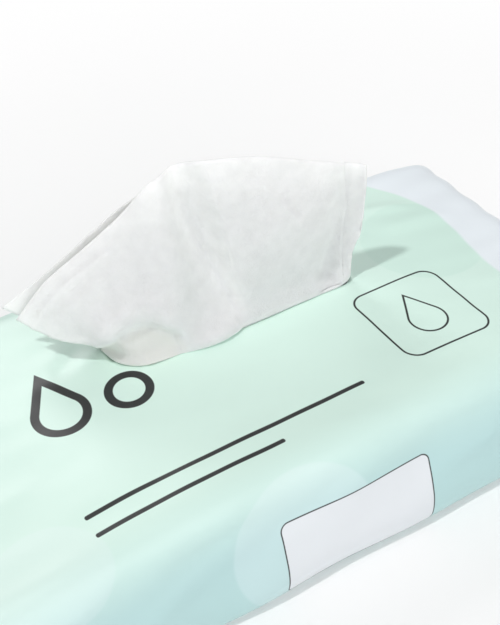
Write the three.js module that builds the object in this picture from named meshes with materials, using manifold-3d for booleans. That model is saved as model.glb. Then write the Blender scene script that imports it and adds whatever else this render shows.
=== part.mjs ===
// A pack of wet wipes: a soft film pouch with crimped, saw-cut ends and a die-cut opening in
// its top, a stack of folded wipes inside, and one wipe drawn up through the opening.
// Millimetres, +Z up. X runs along the pack from crimp to crimp, the front is at -Y, and the
// origin is the middle of the base.

import * as THREE from "three";
import { mergeVertices } from "three/addons/utils/BufferGeometryUtils.js";
import Module from "manifold-3d";

const wasm = await Module();
wasm.setup();

// The pouch
const packLength = 212;        // saw edge to saw edge
const packWidth = 100;         // at the widest line of the side walls
const packHeight = 36.5;       // at the crown of the top
const filmWall = 0.5;
const crownX = 12;             // the top is highest here and sinks towards both ends
const crownSink = 5;           // how far it has sunk at the far end of the long side
const crownPower = 3;          // it stays flat round the crown, and sinks near the ends
const backRise = 3;            // the stack lifts the back shoulder this much above the front one
const topFall = 1.0;           // from the crown down to the shoulder lines
const shoulderHalfWidth = 44;  // where the top would meet the leaning side walls
const wideHeight = 8;          // height of the widest line above the base
const wideRounding = 0.8;      // the side walls would meet this much further out
const baseHalfWidth = 49;      // where the base would meet the side walls
const shoulderRadius = 11;
const wideRadius = 7;
const baseRadius = 4;
const endReach = 12;           // length over which an end closes down to its crimp
const endRoundness = 3;        // 2 is an ellipse, more is squarer
const baseLead = 1.12;         // the base keeps flat a little nearer to the crimp than the top
const tuckDepth = 13;          // inward fold of the side walls at each end
const tuckPower = 0.75;        // under 1 brings the deepest tuck nearer to the shoulder
const pleatDepth = 1.0;        // gathers of the film above and below each crimp
const pleatPitch = 10;
const cavitySetBack = 4.5;     // the hollow stops this much short of each closed end

// The crimped end seals
const sealLength = 10;
const sealHeight = 14;         // above the base
const sealWidth = 98;
const sealThickness = 0.9;
const ribHeight = 0.5;
const sealCover = 0.12;        // the closed end of the pouch stands this much proud of the ribs
const sealRoot = 0.6;          // and runs this far over them
const toothPitch = 3.2;        // saw teeth, and the ribs of the crimp behind them
const toothDepth = 1.5;

// The fin seal along the base, folded flat and lying in the film's own thickness
const finWidth = 12;
const finEdgeY = 3;
const finGrooveWidth = 0.4;
const finGrooveDepth = 0.25;

// The die-cut opening in the top
const openingLeftX = -30;      // its left end is a half circle
const openingRightX = 38;
const openingFrontY = 3;
const openingWidth = 22;
const openingCorner = 4;       // at the right

// The folded wipes of the stack
const wipeCount = 24;
const wipeEndRoom = 23;        // from the end of a wipe to the saw edge
const leafReach = 42.5;        // from the middle to the fold
const leafSetBack = 1.0;       // a free edge stops this much short of the folds beside it
const leafThickness = 0.31;
const leafPitch = 0.565;
const foldBulge = 1.0;         // how far a fold rounds out past its leaves
const stackBase = 1.2;         // middle of the lowest leaf
const droopStart = 20;         // the leaves bend down from here to their edges
const droop = 4;               // of the top leaf, at its edge
const stackWander = 0.5;       // the wipes don't lie quite square on each other

// The drawn wipe
const drawnThickness = 0.7;
const neckBelow = 2.3;         // it starts to pass the opening this far below the crown
const neckAbove = 0.8;         // and ends this far above it
const footAbove = 1.9;         // and then bulges out over the film's edge
const skirtLift = 0.2;         // the middle of its skirt stands this much off the leaf
const drawnLeafGap = 0.65;     // from the stack's top leaf up to the drawn wipe's own lower leaf
const drawnFoldGap = 1.0;      // between the drawn wipe's lower and upper leaf
const returnLeafY = 21;        // its upper leaf runs from the fold to here and then rises

const halfLength = packLength / 2;
const bodyHalf = halfLength - sealLength;
const wipeLength = packLength - 2 * wipeEndRoom;
const shoulderX = bodyHalf - endReach;
const stackTop = stackBase + (2 * wipeCount - 1) * leafPitch;

const cornerShare = 0.48;

const lerp = THREE.MathUtils.lerp;

function toManifold(geometry) {
  const bare = geometry.index ? geometry : geometry.clone();
  bare.deleteAttribute("normal");
  bare.deleteAttribute("uv");
  const merged = mergeVertices(bare, 1e-5);
  return new wasm.Manifold(new wasm.Mesh({
    numProp: 3,
    vertProperties: new Float32Array(merged.attributes.position.array),
    triVerts: new Uint32Array(merged.index.array),
  }));
}

function toGeometry(solid) {
  const mesh = solid.getMesh();
  const geometry = new THREE.BufferGeometry();
  const positions = new Float32Array(mesh.vertProperties);
  geometry.setAttribute("position", new THREE.BufferAttribute(positions, 3));
  geometry.setIndex(Array.from(mesh.triVerts));
  geometry.computeVertexNormals();
  return geometry;
}

// A closed skin through rings of equal point count, with a flat cap on the first and last ring.
function loft(rings) {
  const count = rings[0].length;
  const positions = rings.flat().flatMap((point) => [point.x, point.y, point.z]);
  const index = [];
  for (let ring = 0; ring + 1 < rings.length; ring += 1) {
    for (let k = 0; k < count; k += 1) {
      const next = (k + 1) % count;
      const a = ring * count + k;
      const b = ring * count + next;
      index.push(a, b + count, b, a, a + count, b + count);
    }
  }
  const last = (rings.length - 1) * count;
  const flat = (ring) => ring.map((point) => new THREE.Vector2(point.y, point.z));
  for (const [a, b, c] of THREE.ShapeUtils.triangulateShape(flat(rings[0]), [])) {
    index.push(a, c, b);
  }
  for (const [a, b, c] of THREE.ShapeUtils.triangulateShape(flat(rings.at(-1)), [])) {
    index.push(last + a, last + b, last + c);
  }
  const geometry = new THREE.BufferGeometry();
  geometry.setAttribute("position", new THREE.Float32BufferAttribute(positions, 3));
  geometry.setIndex(index);
  return geometry;
}

// Rounds each inner corner of an open path with a short curve of a fixed number of steps. Each
// curve takes less than half of the runs beside it, so that neighbouring curves never meet.
function roundCorners(path, radii, steps) {
  const out = [path[0]];
  for (let i = 1; i + 1 < path.length; i += 1) {
    const before = path[i - 1].clone().sub(path[i]);
    const after = path[i + 1].clone().sub(path[i]);
    const reach = Math.min(radii[i - 1], cornerShare * before.length(), cornerShare * after.length());
    const start = path[i].clone().add(before.setLength(reach));
    const end = path[i].clone().add(after.setLength(reach));
    out.push(...new THREE.QuadraticBezierCurve(start, path[i], end).getPoints(steps));
  }
  out.push(path.at(-1));
  return out;
}

// How much of the full section is left at a distance past the shoulder: 1 there, 0 at the crimp.
function fullness(x) {
  const past = THREE.MathUtils.clamp((Math.abs(x) - shoulderX) / endReach, 0, 1);
  return (1 - past ** endRoundness) ** (1 / endRoundness);
}

function crownHeight(x) {
  const reach = shoulderX + crownX;
  return packHeight - crownSink * Math.abs((x - crownX) / reach) ** crownPower;
}

// One ring of the pouch at a station, from the middle of the top down the +Y side, along the
// base and up the -Y side. An inset above 0 gives the inner face of the film, which closes
// sooner, so that the gathers don't reach it.
function pouchRing(x, inset, topSteps) {
  const lead = inset > 0 ? inset + pleatDepth : 0;
  const full = fullness(x + Math.sign(x) * lead);
  const slab = sealThickness + ribHeight + 2 * sealCover;
  const crimpTop = sealHeight + slab / 2 - inset * full;
  const crimpBase = sealHeight - slab / 2 + inset * full;
  const crown = lerp(crimpTop, crownHeight(x) - inset, full);
  const shoulderZ = lerp(crimpTop, crownHeight(x) - topFall - inset, full);
  const baseZ = lerp(crimpBase, inset, Math.min(1, full * baseLead));
  const wideZ = lerp(sealHeight - slab / 4, wideHeight, full);
  const shoulderY = lerp(sealWidth / 2, shoulderHalfWidth, full) - inset;
  const wideY = lerp(sealWidth / 2, packWidth / 2 + wideRounding, full) - inset;
  const baseY = lerp(sealWidth / 2, baseHalfWidth, full) - inset;
  const wallAt = (z) => lerp(wideY, shoulderY, (z - wideZ) / Math.max(shoulderZ - wideZ, 0.01));
  const tuckZ = lerp(sealHeight + slab / 8, (wideZ + shoulderZ) / 2, full);
  const tuckY = wallAt(tuckZ) - tuckDepth * Math.max(0, Math.sin(Math.PI * (1 - full) ** tuckPower));
  const side = roundCorners([
    new THREE.Vector2(0, crown),
    new THREE.Vector2(shoulderY, shoulderZ),
    new THREE.Vector2(tuckY, tuckZ),
    new THREE.Vector2(wideY, wideZ),
    new THREE.Vector2(baseY, baseZ),
    new THREE.Vector2(0, baseZ),
  ], [shoulderRadius * full + 0.2, 0.5, wideRadius * full + 0.1, baseRadius * full + 0.1], 3);
  const topEnd = side[1];
  const baseStart = side.at(-2);
  const half = [];
  for (let k = 0; k < topSteps; k += 1) {
    half.push(new THREE.Vector2(lerp(0, topEnd.x, k / topSteps), lerp(crown, topEnd.y, k / topSteps)));
  }
  half.push(...side.slice(1, -1));
  const baseSteps = Math.max(2, Math.round(topSteps / 2));
  for (let k = 1; k < baseSteps; k += 1) {
    half.push(new THREE.Vector2(lerp(baseStart.x, 0, k / baseSteps), baseZ));
  }
  const ring = half.map((point) => [point.x, point.y]);
  ring.push([0, baseZ]);
  ring.push(...half.slice(1).reverse().map((point) => [-point.x, point.y]));
  const gather = inset > 0 ? 0 : pleatDepth * 4 * full * (1 - full);
  return ring.map(([y, z]) => {
    const wave = 0.5 - 0.5 * Math.cos((2 * Math.PI * y) / pleatPitch + Math.sign(x));
    const high = Math.max(0, (z - wideZ) / (packHeight - wideHeight));
    const lift = backRise * full * high * THREE.MathUtils.clamp(y / shoulderHalfWidth, 0, 1);
    return new THREE.Vector3(x - Math.sign(x) * gather * wave, y, z + lift);
  });
}

// Stations along X that crowd together where the ends close.
function stations(half, shoulder, bodySteps, endSteps) {
  const right = [];
  for (let k = 0; k <= bodySteps; k += 1) {
    right.push((shoulder * k) / bodySteps);
  }
  for (let k = 1; k <= endSteps; k += 1) {
    const angle = (Math.PI / 2) * (k / endSteps);
    right.push(shoulder + (half - shoulder) * Math.sin(angle) ** (2 / endRoundness));
  }
  return [...right.slice(1).reverse().map((x) => -x), ...right];
}

// The crimped strip at one end: a ribbed plate whose outer edge is cut to saw teeth.
function endSeal(side) {
  const teeth = Math.round(sealWidth / toothPitch);
  const step = sealWidth / teeth;
  const outline = new THREE.Shape();
  const top = [];
  const bottom = [];
  for (let k = 0; k <= 2 * teeth; k += 1) {
    const y = -sealWidth / 2 + (step * k) / 2;
    const wave = (k % 2 === 0 ? -0.5 : 0.5) * ribHeight;
    top.push(new THREE.Vector2(y, sealHeight + sealThickness / 2 + wave));
    bottom.push(new THREE.Vector2(y, sealHeight - sealThickness / 2 + wave));
  }
  outline.setFromPoints([...top, ...bottom.reverse()]);
  const plate = new THREE.ExtrudeGeometry(outline, { depth: sealLength, bevelEnabled: false });
  // The outline's x and y become Y and Z, and the extrusion runs along X.
  plate.applyMatrix4(new THREE.Matrix4().makeBasis(
    new THREE.Vector3(0, 1, 0), new THREE.Vector3(0, 0, 1), new THREE.Vector3(1, 0, 0),
  ));
  plate.translate(bodyHalf + sealRoot / 2, 0, 0);

  const saw = new THREE.Shape();
  saw.moveTo(bodyHalf, -sealWidth / 2 - 1);
  saw.lineTo(halfLength - toothDepth, -sealWidth / 2 - 1);
  saw.lineTo(halfLength - toothDepth, -sealWidth / 2);
  for (let k = 0; k < teeth; k += 1) {
    const y = -sealWidth / 2 + step * k;
    saw.lineTo(halfLength, y + step / 2);
    saw.lineTo(halfLength - toothDepth, y + step);
  }
  saw.lineTo(halfLength - toothDepth, sealWidth / 2 + 1);
  saw.lineTo(bodyHalf, sealWidth / 2 + 1);
  saw.closePath();
  const blade = new THREE.ExtrudeGeometry(saw, { depth: 4, bevelEnabled: false });
  blade.translate(0, 0, sealHeight - 2);

  const strip = toManifold(plate).intersect(toManifold(blade));
  return side > 0 ? strip : strip.mirror([1, 0, 0]);
}

// A slot across the pack's middle: round at the left, with tight corners at the right.
function openingCutter() {
  const r = openingCorner;
  const endRadius = openingWidth / 2;
  const front = openingFrontY;
  const back = openingFrontY + openingWidth;
  const shape = new THREE.Shape();
  shape.moveTo(openingLeftX + endRadius, front);
  shape.lineTo(openingRightX - r, front);
  shape.absarc(openingRightX - r, front + r, r, -Math.PI / 2, 0, false);
  shape.lineTo(openingRightX, back - r);
  shape.absarc(openingRightX - r, back - r, r, 0, Math.PI / 2, false);
  shape.lineTo(openingLeftX + endRadius, back);
  const middle = front + endRadius;
  shape.absarc(openingLeftX + endRadius, middle, endRadius, Math.PI / 2, 1.5 * Math.PI, false);
  const cutter = new THREE.ExtrudeGeometry(shape, {
    depth: packHeight / 2, bevelEnabled: false, curveSegments: 6,
  });
  cutter.translate(0, 0, packHeight * 0.75);
  return toManifold(cutter);
}

function finGroove(y) {
  const groove = new THREE.BoxGeometry(2 * shoulderX, finGrooveWidth, 2 * finGrooveDepth);
  groove.translate(0, y, 0);
  return toManifold(groove);
}

function filmPouch() {
  const outer = stations(bodyHalf, shoulderX, 6, 9).map((x) => pouchRing(x, 0, 14));
  const moved = (ring, x) => ring.map((point) => new THREE.Vector3(x, point.y, point.z));
  outer.unshift(moved(outer[0], -bodyHalf - sealRoot));
  outer.push(moved(outer.at(-1), bodyHalf + sealRoot));
  const innerEnd = bodyHalf - cavitySetBack;
  const inner = stations(innerEnd, shoulderX, 4, 5).map((x) => pouchRing(x, filmWall, 6));
  return toManifold(loft(outer))
    .add(endSeal(1))
    .add(endSeal(-1))
    .subtract(toManifold(loft(inner)))
    .subtract(openingCutter())
    .subtract(finGroove(finEdgeY))
    .subtract(finGroove(finEdgeY + finWidth));
}

// Height of a leaf at a distance from the middle: flat, then bent down towards its edges.
function leafHeight(middle, y) {
  const past = Math.max(0, Math.abs(y) - droopStart) / (leafReach - droopStart);
  return middle - droop * (middle / stackTop) * past ** 2;
}

// The section of a sheet folded once: two leaves joined by a round fold on one side.
function foldedSection(upper, lower, side, upperReturn) {
  const t = leafThickness / 2;
  const steps = [-1, -0.8, -0.5, 0.5, 0.8, 1];
  const reach = (step) => side * step * (step < 0 ? leafReach - leafSetBack : leafReach);
  const leafPoints = (middle, offset, from) => steps.map(reach)
    .filter((y) => from === undefined || side * y > side * from)
    .map((y) => new THREE.Vector2(y, leafHeight(middle, y) + offset));
  const edge = side * leafReach;
  const foldPoints = (high, low, bulge) => {
    const points = [];
    const folds = 4;
    for (let k = 1; k < folds; k += 1) {
      const angle = (Math.PI * k) / folds;
      const z = lerp(high, low, (1 - Math.cos(angle)) / 2);
      points.push(new THREE.Vector2(edge + side * bulge * Math.sin(angle), z));
    }
    return points;
  };
  const atEdge = (middle, offset) => leafHeight(middle, edge) + offset;
  const start = upperReturn === undefined ? [] : [upperReturn];
  const upperTop = leafPoints(upper, t, upperReturn);
  const upperUnder = leafPoints(upper, -t, upperReturn);
  return [
    ...start.map((y) => new THREE.Vector2(y, leafHeight(upper, y) + t)),
    ...upperTop,
    ...foldPoints(atEdge(upper, t), atEdge(lower, -t), foldBulge),
    ...leafPoints(lower, -t).reverse(),
    ...leafPoints(lower, t),
    ...foldPoints(atEdge(upper, -t), atEdge(lower, t), foldBulge - leafThickness).reverse(),
    ...upperUnder.reverse(),
    ...start.map((y) => new THREE.Vector2(y, leafHeight(upper, y) - t)),
  ];
}

function extrudeAlongX(section, length, middleX) {
  const shape = new THREE.Shape(section);
  const geometry = new THREE.ExtrudeGeometry(shape, { depth: length, bevelEnabled: false });
  geometry.applyMatrix4(new THREE.Matrix4().makeBasis(
    new THREE.Vector3(0, 1, 0), new THREE.Vector3(0, 0, 1), new THREE.Vector3(1, 0, 0),
  ));
  geometry.translate(middleX - length / 2, 0, 0);
  return geometry;
}

// The wipes are interleaved: each one's fold closes over a leaf of each of its neighbours.
function stackWipe(number) {
  const layerZ = (layer) => stackTop - (layer - 1) * leafPitch;
  const upperLayer = number === 1 ? 1 : 2 * number - 2;
  const lowerLayer = number === wipeCount ? 2 * number : 2 * number + 1;
  const side = number % 2 === 0 ? 1 : -1;
  const section = foldedSection(layerZ(upperLayer), layerZ(lowerLayer), side);
  return extrudeAlongX(section, wipeLength, stackWander * Math.sin(2.4 * number));
}

// Ribs of the drawn wipe, from the free lower edge of its front ply at the left, round the
// doubled edge at the right and back along its rear ply to the rear tip. Each has where its
// skirt ends on the stack, where it passes the opening, where it bulges out over the film's
// edge, and three points on its way up.
const ribs = [
  {
    skirt: [-72, -9], neck: [-27.5, 10.5], foot: [-29.6, 11.2],
    rise: [[-34.5, 11.5, 43.2], [-41.8, 17, 44.5], [-47.6, 23, 49]],
  },
  {
    skirt: [-70, -25], neck: [-26.5, 8.5], foot: [-29.4, 7.6],
    rise: [[-31.5, 7.4, 45], [-35.6, 13.2, 52], [-39.5, 20, 58.3]],
  },
  {
    skirt: [-56, -35], neck: [-23.5, 5.6], foot: [-26.6, 4.2],
    rise: [[-27.8, 5.6, 47.5], [-28.8, 11.5, 56.5], [-29.9, 17, 66.7]],
  },
  {
    skirt: [-42, -37], neck: [-19, 4.1], foot: [-20.4, 2.4],
    rise: [[-21.6, 5, 48], [-20.8, 9.2, 60], [-21.4, 14, 74.1]],
  },
  {
    skirt: [-26, -37], neck: [-12.5, 3.8], foot: [-13, 2.2],
    rise: [[-14.2, 3.6, 45.5], [-12.8, 6.6, 61.8], [-15.1, 10.5, 82.1]],
  },
  {
    skirt: [4, -37], neck: [2, 3.8], foot: [1.8, 2.5],
    rise: [[1.6, 6.8, 44.5], [-2.4, 10.6, 60], [-7.2, 11, 84.2]],
  },
  {
    skirt: [12, -37], neck: [6, 3.8], foot: [5.8, 2.2],
    rise: [[5.4, 4.6, 44], [2.6, 5.6, 62.7], [-2, 7, 85.2]],
  },
  {
    skirt: [26, -37], neck: [13, 3.8], foot: [12.6, 1.6],
    rise: [[12.2, 4.2, 43.5], [10.5, 3.6, 64], [11.1, 5.5, 82.7]],
  },
  {
    skirt: [40, -37], neck: [20, 3.8], foot: [19.8, 1.4],
    rise: [[20.1, 4.2, 43], [20.9, 3, 62], [24.1, 5, 77.3]],
  },
  {
    skirt: [54, -35], neck: [26.5, 3.8], foot: [26.6, 1.6],
    rise: [[27, 4.6, 43], [28.6, 4, 58.7], [31.9, 4.5, 74.2]],
  },
  {
    skirt: [68, -25], neck: [31.5, 4.2], foot: [32.2, 2.2],
    rise: [[32.8, 4.6, 42.5], [33.9, 6, 54.6], [36.7, 4.9, 71.9]],
  },
  {
    skirt: [72, -7], neck: [34.6, 5.4], foot: [35.8, 4.2],
    rise: [[37, 4, 43], [40.4, 3.9, 52], [41, 3.9, 70.4]],
  },
  {
    skirt: [72, 9], neck: [34, 7.8], foot: [35, 7.8],
    rise: [[36.2, 7, 44], [39.2, 6.9, 55], [39.2, 6.6, 69]],
  },
  {
    skirt: [44, 25], neck: [22, 8.8], foot: [21.8, 8.8],
    rise: [[21.5, 8.2, 47], [22, 8.6, 60], [27, 9.4, 72.5]],
  },
  {
    skirt: [12, 25], neck: [6, 9.2], foot: [5.8, 9.6],
    rise: [[5, 10.8, 48], [4, 12.8, 62], [7.5, 11.6, 79]],
  },
  {
    skirt: [-20, 25], neck: [-10, 9.6], foot: [-10.4, 10.4],
    rise: [[-12, 13.4, 48], [-13, 15, 62], [-7.8, 14.8, 79.5]],
  },
  {
    skirt: [-42, 25], neck: [-19.5, 10.6], foot: [-20.4, 11.8],
    rise: [[-24, 16.5, 48], [-25, 18, 60], [-17.4, 16.6, 77]],
  },
  {
    skirt: [-60, 25], neck: [-26, 13], foot: [-27, 13.6],
    rise: [[-33, 19, 46], [-37, 22.5, 52], [-36, 23, 61]],
  },
  {
    skirt: [-72, 15], neck: [-27.5, 14], foot: [-28.6, 14.6],
    rise: [[-36, 18, 43.6], [-43, 24, 46], [-49.7, 27, 50.7]],
  },
];

// The places that one rib passes: skirt on the stack, opening, bulge over the film and rise.
function ribCurve({ skirt, neck, foot, rise }) {
  const leafZ = stackTop + drawnLeafGap + drawnFoldGap;
  const [skirtX, skirtY] = skirt;
  const [neckX, neckY] = neck;
  const [footX, footY] = foot;
  return new THREE.CatmullRomCurve3([
    new THREE.Vector3(skirtX, skirtY, leafHeight(leafZ, skirtY)),
    new THREE.Vector3(lerp(neckX, skirtX, 0.5), lerp(neckY, skirtY, 0.5), leafZ + skirtLift),
    new THREE.Vector3(neckX, neckY, packHeight - neckBelow),
    new THREE.Vector3(neckX, neckY, packHeight + neckAbove),
    new THREE.Vector3(footX, footY, packHeight + footAbove),
    ...rise.map(([x, y, z]) => new THREE.Vector3(x, y, z)),
  ], false, "centripetal");
}

// A sheet of even thickness about a grid of points, closed round its four edges.
function thickSheet(grid, thickness) {
  const rows = grid.length;
  const columns = grid[0].length;
  const inside = (k, count) => THREE.MathUtils.clamp(k, 0, count - 1);
  const at = (i, j) => grid[inside(i, rows)][inside(j, columns)];
  const faceOf = (offset) => grid.map((row, i) => row.map((point, j) => {
    const along = at(i + 1, j).clone().sub(at(i - 1, j));
    const up = at(i, j + 1).clone().sub(at(i, j - 1));
    return point.clone().addScaledVector(along.cross(up).normalize(), offset);
  }));
  const points = [...faceOf(thickness / 2), ...faceOf(-thickness / 2)].flat();
  const front = (i, j) => i * columns + j;
  const back = (i, j) => rows * columns + i * columns + j;
  const index = [];
  const quad = (a, b, c, d) => index.push(a, b, c, a, c, d);
  for (let i = 0; i + 1 < rows; i += 1) {
    for (let j = 0; j + 1 < columns; j += 1) {
      quad(front(i, j), front(i + 1, j), front(i + 1, j + 1), front(i, j + 1));
      quad(back(i, j), back(i, j + 1), back(i + 1, j + 1), back(i + 1, j));
    }
    quad(front(i, 0), back(i, 0), back(i + 1, 0), front(i + 1, 0));
    const j = columns - 1;
    quad(front(i, j), front(i + 1, j), back(i + 1, j), back(i, j));
  }
  for (let j = 0; j + 1 < columns; j += 1) {
    quad(front(0, j), front(0, j + 1), back(0, j + 1), back(0, j));
    const i = rows - 1;
    quad(front(i, j), back(i, j), back(i, j + 1), front(i, j + 1));
  }
  const geometry = new THREE.BufferGeometry();
  const positions = points.flatMap((point) => [point.x, point.y, point.z]);
  geometry.setAttribute("position", new THREE.Float32BufferAttribute(positions, 3));
  geometry.setIndex(index);
  return geometry;
}

function drawnWipe() {
  const alongRib = 20;
  const acrossRibs = 2 * (ribs.length - 1);
  const curves = ribs.map(ribCurve);
  const levels = [];
  for (let k = 0; k <= alongRib; k += 1) {
    const level = new THREE.CatmullRomCurve3(
      curves.map((curve) => curve.getPoint(k / alongRib)), false, "centripetal",
    );
    levels.push(Array.from({ length: acrossRibs + 1 }, (_, i) => level.getPoint(i / acrossRibs)));
  }
  const grid = Array.from({ length: acrossRibs + 1 }, (_, i) => levels.map((level) => level[i]));
  const risen = toManifold(thickSheet(grid, drawnThickness));
  const lower = stackTop + drawnLeafGap;
  const section = foldedSection(lower + drawnFoldGap, lower, 1, returnLeafY);
  return risen.add(toManifold(extrudeAlongX(section, wipeLength, 0)));
}

function named(name, geometry, material) {
  const mesh = new THREE.Mesh(geometry, material);
  mesh.name = name;
  return mesh;
}

const film = new THREE.MeshStandardMaterial({ color: 0xc8ebdd, roughness: 0.32, metalness: 0 });
const cloth = new THREE.MeshStandardMaterial({ color: 0xf1f3f2, roughness: 0.95, metalness: 0 });

const pack = new THREE.Group();
pack.add(named("film_pouch", toGeometry(filmPouch()), film));
pack.add(named("drawn_wipe", toGeometry(drawnWipe()), cloth.clone()));
for (let number = 1; number <= wipeCount; number += 1) {
  const name = `wipe_${String(number).padStart(2, "0")}`;
  pack.add(named(name, stackWipe(number), cloth.clone()));
}

export default pack;
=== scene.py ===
"""Looks of a soft film pack of wet wipes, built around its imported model.

Everything is in metres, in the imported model's frame: X runs from crimp to crimp, the front is at
-Y and the pack lies on Z = 0.
"""

import math

import bpy
import numpy as np
from bpy.props import FloatProperty, FloatVectorProperty, IntProperty, PointerProperty
from mathutils import Matrix, Vector


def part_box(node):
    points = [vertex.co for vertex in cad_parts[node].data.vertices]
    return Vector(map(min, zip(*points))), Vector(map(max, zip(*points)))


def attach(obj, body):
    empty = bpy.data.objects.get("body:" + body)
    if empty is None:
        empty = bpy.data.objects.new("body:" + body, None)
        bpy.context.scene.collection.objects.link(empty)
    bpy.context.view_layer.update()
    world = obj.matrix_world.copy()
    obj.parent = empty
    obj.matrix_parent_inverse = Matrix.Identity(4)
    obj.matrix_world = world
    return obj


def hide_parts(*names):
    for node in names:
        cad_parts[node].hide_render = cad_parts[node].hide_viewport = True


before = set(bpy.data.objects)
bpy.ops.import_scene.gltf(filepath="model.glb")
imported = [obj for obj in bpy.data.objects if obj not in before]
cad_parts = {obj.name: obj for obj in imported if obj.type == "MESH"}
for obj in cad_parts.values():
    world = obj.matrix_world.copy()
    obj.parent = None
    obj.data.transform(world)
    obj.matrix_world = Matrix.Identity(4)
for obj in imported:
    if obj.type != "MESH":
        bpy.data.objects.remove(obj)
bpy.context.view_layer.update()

bl_info = {
    "name": "Wet wipes pack",
    "version": (1, 0, 0),
    "blender": (4, 5, 0),
    "location": "View3D > Sidebar > Wipes pack",
    "description": "Builds the printed film, the folded stack and the drawn wipe of a wipes pack",
    "category": "Add Mesh",
}

film_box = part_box("film_pouch")
wipe_count = sum(name.startswith("wipe_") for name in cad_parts)


def length(name, description, default):
    """A property that holds a length in metres."""
    return FloatProperty(name=name, description=description, default=default, unit="LENGTH", precision=5)


def amount(name, description, default):
    """A property that holds a plain number."""
    return FloatProperty(name=name, description=description, default=default)


def tint(name, description, default):
    """A property that holds a colour as it is printed."""
    return FloatVectorProperty(
        name=name, description=description, default=default,
        subtype="COLOR_GAMMA", size=3, min=0.0, max=1.0,
    )


def location(name, description, default):
    """A property that holds a place in metres."""
    return FloatVectorProperty(
        name=name, description=description, default=default,
        subtype="XYZ", unit="LENGTH", size=3, precision=5,
    )


def direction(name, description, default):
    """A property that holds a direction."""
    return FloatVectorProperty(
        name=name, description=description, default=default, subtype="DIRECTION", size=3,
    )


class FilmSettings(bpy.types.PropertyGroup):
    half_length: length("Half length", "From the middle to the saw edge", film_box[1][0])
    seal_length: length("Seal length", "Crimped strip beyond each closed end", 0.010)
    seal_height: length("Seal height", "Height of the crimps above the base", 0.014)
    seal_width: length("Seal width", "Width of each crimp", 0.098)
    seal_thickness: length("Seal thickness", "Thickness of a crimp between its ribs", 0.0009)
    rib_height: length("Rib height", "Height of the crimp's ribs", 0.0005)
    tooth_pitch: length("Tooth pitch", "From one saw tooth to the next", 0.0032)
    tooth_depth: length("Tooth depth", "Depth of the saw teeth", 0.0015)
    end_reach: length("End reach", "Length over which an end closes", 0.012)
    end_roundness: amount("End roundness", "2 is an ellipse, more is squarer", 3.0)
    base_lead: amount("Base lead", "The base keeps flat a little nearer to the crimp", 1.12)
    width: length("Width", "At the widest line of the side walls", 0.100)
    wide_rounding: length("Wide rounding", "The side walls would meet this much further out", 0.0008)
    height: length("Height", "At the crown of the top", 0.0365)
    crown_x: length("Crown place", "Where the top is highest along the pack", 0.012)
    crown_sink: length("Crown sink", "How far the top has sunk at the far end", 0.005)
    crown_power: amount("Crown power", "The top stays flat round the crown", 3.0)
    top_fall: length("Top fall", "From the crown down to the shoulder lines", 0.001)
    back_rise: length("Back rise", "Lift of the back shoulder", 0.003)
    shoulder_half_width: length("Shoulder half width", "Where the top would meet the walls", 0.044)
    shoulder_radius: length("Shoulder radius", "Rounding of the top's long sides", 0.011)
    wide_height: length("Wide height", "Height of the widest line", 0.008)
    wide_radius: length("Wide radius", "Rounding at the widest line", 0.007)
    base_half_width: length("Base half width", "Where the base would meet the walls", 0.049)
    base_radius: length("Base radius", "Rounding of the lower edges", 0.004)
    tuck_depth: length("Tuck depth", "Inward fold of the side walls at each end", 0.013)
    tuck_power: amount("Tuck power", "Under 1 brings the tuck nearer to the shoulder", 0.75)
    pleat_depth: length("Pleat depth", "Gathers of the film at each crimp", 0.0008)
    pleat_pitch: length("Pleat pitch", "From one gather to the next", 0.010)
    thickness: length("Film thickness", "Drawn a little thicker than the real film", 0.00022)
    fin_edge: length("Fin edge", "Where the fin seal starts on the base", 0.003)
    fin_width: length("Fin width", "Width of the fin seal on the base", 0.012)
    fin_step: length("Fin step", "Height of the fin's edge", 0.0002)
    opening_left: length("Opening left", "Left end of the opening, a half circle", -0.030)
    opening_right: length("Opening right", "Right end of the opening", 0.038)
    opening_front: length("Opening front", "Front edge of the opening", 0.003)
    opening_width: length("Opening width", "Width of the opening", 0.022)
    opening_corner: length("Opening corner", "Radius of its right corners", 0.004)
    stations: IntProperty(name="Stations", description="Rings along the pack's long part", default=150)


class PrintSettings(bpy.types.PropertyGroup):
    mint: tint("Mint", "Main field of the print", (0.835, 0.930, 0.890))
    deep_mint: tint("Deep mint", "Round fields of the print", (0.785, 0.900, 0.855))
    teal: tint("Teal", "Low on the long sides", (0.690, 0.812, 0.812))
    lilac: tint("Lilac", "Field at the right end", (0.920, 0.940, 0.965))
    ink: tint("Ink", "Thin lines and shapes", (0.170, 0.175, 0.175))
    panel: tint("Panel", "Plain panel on the front wall", (0.850, 0.865, 0.880))
    lining: tint("Lining", "Inner face of the film", (0.900, 0.915, 0.905))


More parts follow.
